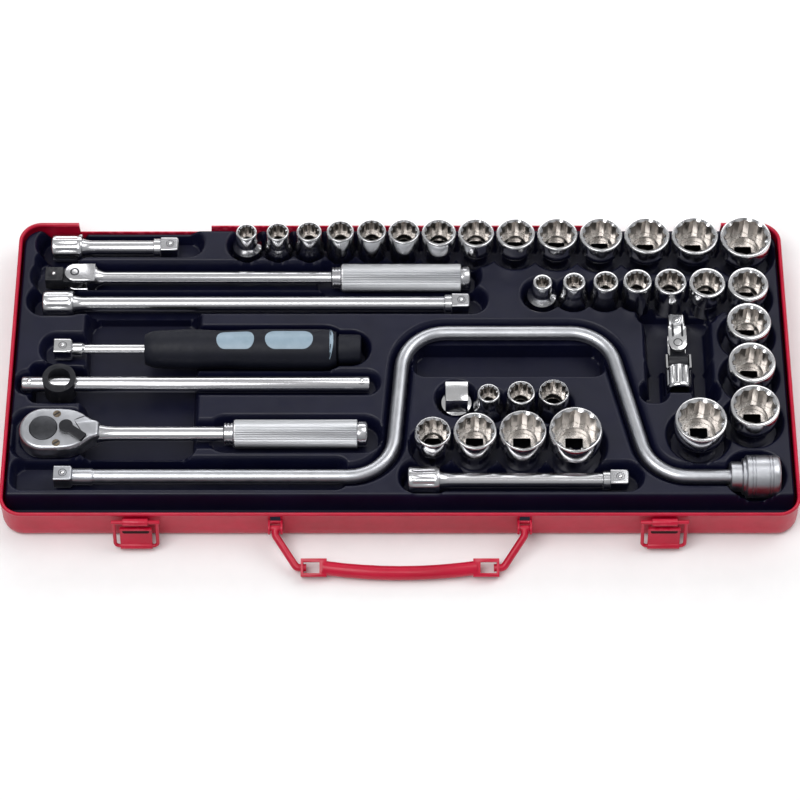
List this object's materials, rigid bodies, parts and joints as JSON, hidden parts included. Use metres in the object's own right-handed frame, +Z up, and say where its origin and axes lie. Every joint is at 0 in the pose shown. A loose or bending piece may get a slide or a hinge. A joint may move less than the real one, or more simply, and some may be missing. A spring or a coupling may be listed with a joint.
{
  "type": "socket wrench set in case",
  "caption": "Socket wrench set in an open painted steel case: ratchet, bars, handles, speed brace, universal joint and twelve-point sockets in a formed black tray.",
  "frame": {"origin": "centre of the case's underside, on the surface it stands on", "axes": "+X along the case to the right seen from the latches, +Y from the latches to the lid's hinge side, +Z up"},
  "size_m": [0.45, 0.23, 0.0371],
  "materials": {
    "red paint": "gloss enamel",
    "tray plastic": "satin vacuum-formed sheet",
    "chrome": "satin chrome plate",
    "black oxide": "black oxide steel",
    "soft grip": "soft-touch"
  },
  "bodies": {
    "case": {"case_base": "red paint", "tool_tray": "tray plastic", "handle_brackets": "red paint", "latch_brackets": "red paint"},
    "carry_handle": {"handle_arms": "red paint", "handle_grip": "red paint"},
    "latch_hoop_left": {"latch_hoop_left": "red paint"},
    "latch_lever_left": {"latch_lever_left": "red paint"},
    "latch_hoop_right": {"latch_hoop_right": "red paint"},
    "latch_lever_right": {"latch_lever_right": "red paint"},
    "extension_bar_short": {"extension_bar_short": "chrome"},
    "extension_bar_medium": {"extension_bar_medium": "chrome"},
    "extension_bar_long": {"extension_bar_long": "chrome"},
    "flex_handle": {"flex_handle_bar": "chrome"},
    "flex_head": {"flex_handle_head": "black oxide"},
    "spinner": {"spinner_shank": "chrome", "spinner_grip": "soft grip"},
    "sliding_tee": {"sliding_bar": "chrome"},
    "tee_head": {"sliding_head": "black oxide"},
    "ratchet": {"ratchet_body": "chrome"},
    "ratchet_drive": {"ratchet_drive": "black oxide"},
    "ratchet_lever": {"ratchet_lever": "black oxide"},
    "speed_brace": {"brace_crank": "chrome"},
    "brace_knob": {"brace_knob": "chrome"},
    "universal_joint": {"universal_fork": "chrome"},
    "universal_block": {"universal_block": "black oxide"},
    "universal_tang": {"universal_tang": "chrome"},
    "drive_adaptor": {"drive_adaptor": "chrome"},
    "socket_metric_08": {"socket_metric_08": "chrome"},
    "socket_metric_09": {"socket_metric_09": "chrome"},
    "socket_metric_10": {"socket_metric_10": "chrome"},
    "socket_metric_11": {"socket_metric_11": "chrome"},
    "socket_metric_12": {"socket_metric_12": "chrome"},
    "socket_metric_13": {"socket_metric_13": "chrome"},
    "socket_metric_14": {"socket_metric_14": "chrome"},
    "socket_metric_15": {"socket_metric_15": "chrome"},
    "socket_metric_16": {"socket_metric_16": "chrome"},
    "socket_metric_17": {"socket_metric_17": "chrome"},
    "socket_metric_18": {"socket_metric_18": "chrome"},
    "socket_metric_19": {"socket_metric_19": "chrome"},
    "socket_metric_20": {"socket_metric_20": "chrome"},
    "socket_metric_22": {"socket_metric_22": "chrome"},
    "socket_inch_1_4": {"socket_inch_1_4": "chrome"},
    "socket_inch_5_16": {"socket_inch_5_16": "chrome"},
    "socket_inch_3_8": {"socket_inch_3_8": "chrome"},
    "socket_inch_7_16": {"socket_inch_7_16": "chrome"},
    "socket_inch_1_2": {"socket_inch_1_2": "chrome"},
    "socket_inch_9_16": {"socket_inch_9_16": "chrome"},
    "socket_inch_5_8": {"socket_inch_5_8": "chrome"},
    "socket_inch_11_16": {"socket_inch_11_16": "chrome"},
    "socket_inch_3_4": {"socket_inch_3_4": "chrome"},
    "socket_inch_13_16": {"socket_inch_13_16": "chrome"},
    "socket_inch_7_8": {"socket_inch_7_8": "chrome"},
    "socket_whitworth_1_8": {"socket_whitworth_1_8": "chrome"},
    "socket_whitworth_3_16": {"socket_whitworth_3_16": "chrome"},
    "socket_whitworth_1_4": {"socket_whitworth_1_4": "chrome"},
    "socket_whitworth_5_16": {"socket_whitworth_5_16": "chrome"},
    "socket_whitworth_3_8": {"socket_whitworth_3_8": "chrome"},
    "socket_whitworth_7_16": {"socket_whitworth_7_16": "chrome"},
    "socket_whitworth_1_2": {"socket_whitworth_1_2": "chrome"}
  },
  "joints": [
    {"name": "carry_handle_swing", "type": "hinge", "parent": "case", "child": "carry_handle", "pos_m": [0, -0.1035, 0.015], "axis": [1, 0, 0], "range_deg": [-100, 0]},
    {"name": "latch_hoop_left_swing", "type": "hinge", "parent": "case", "child": "latch_hoop_left", "pos_m": [-0.148, -0.1026, 0.0202], "axis": [-1, 0, 0], "range_deg": [0, 140]},
    {"name": "latch_lever_left_flip", "type": "hinge", "parent": "latch_hoop_left", "child": "latch_lever_left", "pos_m": [-0.148, -0.10823, 0.00384], "axis": [1, 0, 0], "range_deg": [0, 100]},
    {"name": "latch_hoop_right_swing", "type": "hinge", "parent": "case", "child": "latch_hoop_right", "pos_m": [0.148, -0.1026, 0.0202], "axis": [-1, 0, 0], "range_deg": [0, 140]},
    {"name": "latch_lever_right_flip", "type": "hinge", "parent": "latch_hoop_right", "child": "latch_lever_right", "pos_m": [0.148, -0.10823, 0.00384], "axis": [1, 0, 0], "range_deg": [0, 100]},
    {"name": "extension_bar_short_lift", "type": "slide", "parent": "case", "child": "extension_bar_short", "axis": [0, 0, 1], "range_m": [0, 0.05]},
    {"name": "extension_bar_medium_lift", "type": "slide", "parent": "case", "child": "extension_bar_medium", "axis": [0, 0, 1], "range_m": [0, 0.05]},
    {"name": "extension_bar_long_lift", "type": "slide", "parent": "case", "child": "extension_bar_long", "axis": [0, 0, 1], "range_m": [0, 0.05]},
    {"name": "flex_handle_lift", "type": "slide", "parent": "case", "child": "flex_handle", "axis": [0, 0, 1], "range_m": [0, 0.05]},
    {"name": "flex_head_swing", "type": "hinge", "parent": "flex_handle", "child": "flex_head", "pos_m": [-0.191, 0.0655, 0.016], "axis": [0, 0, 1], "range_deg": [-20, 10]},
    {"name": "spinner_lift", "type": "slide", "parent": "case", "child": "spinner", "axis": [0, 0, 1], "range_m": [0, 0.05]},
    {"name": "sliding_tee_lift", "type": "slide", "parent": "case", "child": "sliding_tee", "axis": [0, 0, 1], "range_m": [0, 0.05]},
    {"name": "tee_head_slide", "type": "slide", "parent": "sliding_tee", "child": "tee_head", "axis": [1, 0, 0], "range_m": [-0.003, 0.06]},
    {"name": "ratchet_lift", "type": "slide", "parent": "case", "child": "ratchet", "axis": [0, 0, 1], "range_m": [0, 0.05]},
    {"name": "ratchet_drive_turn", "type": "hinge", "parent": "ratchet", "child": "ratchet_drive", "pos_m": [-0.2025, -0.044, 0.02], "axis": [0, 0, 1], "continuous": true},
    {"name": "ratchet_lever_flip", "type": "hinge", "parent": "ratchet", "child": "ratchet_lever", "pos_m": [-0.1893, -0.044, 0.027], "axis": [0, 0, 1], "range_deg": [0, 72]},
    {"name": "speed_brace_lift", "type": "slide", "parent": "case", "child": "speed_brace", "axis": [0, 0, 1], "range_m": [0, 0.06]},
    {"name": "brace_knob_spin", "type": "hinge", "parent": "speed_brace", "child": "brace_knob", "pos_m": [0.2, -0.071, 0.017], "axis": [1, 0, 0], "continuous": true},
    {"name": "universal_joint_lift", "type": "slide", "parent": "case", "child": "universal_joint", "axis": [0, 0, 1], "range_m": [0, 0.07]},
    {"name": "universal_tilt", "type": "hinge", "parent": "universal_joint", "child": "universal_block", "pos_m": [0.161, 0.007, 0.015], "axis": [1, 0, 0], "range_deg": [-10, 45]},
    {"name": "universal_swing", "type": "hinge", "parent": "universal_block", "child": "universal_tang", "pos_m": [0.161, 0.0169, 0.015], "axis": [0, 0, 1], "range_deg": [-25, 25]},
    {"name": "drive_adaptor_lift", "type": "slide", "parent": "case", "child": "drive_adaptor", "axis": [0, 0, 1], "range_m": [0, 0.04]},
    {"name": "socket_metric_08_lift", "type": "slide", "parent": "case", "child": "socket_metric_08", "axis": [0, 0, 1], "range_m": [0, 0.04]},
    {"name": "socket_metric_09_lift", "type": "slide", "parent": "case", "child": "socket_metric_09", "axis": [0, 0, 1], "range_m": [0, 0.04]},
    {"name": "socket_metric_10_lift", "type": "slide", "parent": "case", "child": "socket_metric_10", "axis": [0, 0, 1], "range_m": [0, 0.04]},
    {"name": "socket_metric_11_lift", "type": "slide", "parent": "case", "child": "socket_metric_11", "axis": [0, 0, 1], "range_m": [0, 0.04]},
    {"name": "socket_metric_12_lift", "type": "slide", "parent": "case", "child": "socket_metric_12", "axis": [0, 0, 1], "range_m": [0, 0.04]},
    {"name": "socket_metric_13_lift", "type": "slide", "parent": "case", "child": "socket_metric_13", "axis": [0, 0, 1], "range_m": [0, 0.04]},
    {"name": "socket_metric_14_lift", "type": "slide", "parent": "case", "child": "socket_metric_14", "axis": [0, 0, 1], "range_m": [0, 0.04]},
    {"name": "socket_metric_15_lift", "type": "slide", "parent": "case", "child": "socket_metric_15", "axis": [0, 0, 1], "range_m": [0, 0.04]},
    {"name": "socket_metric_16_lift", "type": "slide", "parent": "case", "child": "socket_metric_16", "axis": [0, 0, 1], "range_m": [0, 0.04]},
    {"name": "socket_metric_17_lift", "type": "slide", "parent": "case", "child": "socket_metric_17", "axis": [0, 0, 1], "range_m": [0, 0.04]},
    {"name": "socket_metric_18_lift", "type": "slide", "parent": "case", "child": "socket_metric_18", "axis": [0, 0, 1], "range_m": [0, 0.04]},
    {"name": "socket_metric_19_lift", "type": "slide", "parent": "case", "child": "socket_metric_19", "axis": [0, 0, 1], "range_m": [0, 0.04]},
    {"name": "socket_metric_20_lift", "type": "slide", "parent": "case", "child": "socket_metric_20", "axis": [0, 0, 1], "range_m": [0, 0.04]},
    {"name": "socket_metric_22_lift", "type": "slide", "parent": "case", "child": "socket_metric_22", "axis": [0, 0, 1], "range_m": [0, 0.04]},
    {"name": "socket_inch_1_4_lift", "type": "slide", "parent": "case", "child": "socket_inch_1_4", "axis": [0, 0, 1], "range_m": [0, 0.04]},
    {"name": "socket_inch_5_16_lift", "type": "slide", "parent": "case", "child": "socket_inch_5_16", "axis": [0, 0, 1], "range_m": [0, 0.04]},
    {"name": "socket_inch_3_8_lift", "type": "slide", "parent": "case", "child": "socket_inch_3_8", "axis": [0, 0, 1], "range_m": [0, 0.04]},
    {"name": "socket_inch_7_16_lift", "type": "slide", "parent": "case", "child": "socket_inch_7_16", "axis": [0, 0, 1], "range_m": [0, 0.04]},
    {"name": "socket_inch_1_2_lift", "type": "slide", "parent": "case", "child": "socket_inch_1_2", "axis": [0, 0, 1], "range_m": [0, 0.04]},
    {"name": "socket_inch_9_16_lift", "type": "slide", "parent": "case", "child": "socket_inch_9_16", "axis": [0, 0, 1], "range_m": [0, 0.04]},
    {"name": "socket_inch_5_8_lift", "type": "slide", "parent": "case", "child": "socket_inch_5_8", "axis": [0, 0, 1], "range_m": [0, 0.04]},
    {"name": "socket_inch_11_16_lift", "type": "slide", "parent": "case", "child": "socket_inch_11_16", "axis": [0, 0, 1], "range_m": [0, 0.04]},
    {"name": "socket_inch_3_4_lift", "type": "slide", "parent": "case", "child": "socket_inch_3_4", "axis": [0, 0, 1], "range_m": [0, 0.04]},
    {"name": "socket_inch_13_16_lift", "type": "slide", "parent": "case", "child": "socket_inch_13_16", "axis": [0, 0, 1], "range_m": [0, 0.04]},
    {"name": "socket_inch_7_8_lift", "type": "slide", "parent": "case", "child": "socket_inch_7_8", "axis": [0, 0, 1], "range_m": [0, 0.04]},
    {"name": "socket_whitworth_1_8_lift", "type": "slide", "parent": "case", "child": "socket_whitworth_1_8", "axis": [0, 0, 1], "range_m": [0, 0.04]},
    {"name": "socket_whitworth_3_16_lift", "type": "slide", "parent": "case", "child": "socket_whitworth_3_16", "axis": [0, 0, 1], "range_m": [0, 0.04]},
    {"name": "socket_whitworth_1_4_lift", "type": "slide", "parent": "case", "child": "socket_whitworth_1_4", "axis": [0, 0, 1], "range_m": [0, 0.04]},
    {"name": "socket_whitworth_5_16_lift", "type": "slide", "parent": "case", "child": "socket_whitworth_5_16", "axis": [0, 0, 1], "range_m": [0, 0.04]},
    {"name": "socket_whitworth_3_8_lift", "type": "slide", "parent": "case", "child": "socket_whitworth_3_8", "axis": [0, 0, 1], "range_m": [0, 0.04]},
    {"name": "socket_whitworth_7_16_lift", "type": "slide", "parent": "case", "child": "socket_whitworth_7_16", "axis": [0, 0, 1], "range_m": [0, 0.04]},
    {"name": "socket_whitworth_1_2_lift", "type": "slide", "parent": "case", "child": "socket_whitworth_1_2", "axis": [0, 0, 1], "range_m": [0, 0.04]}
  ]
}
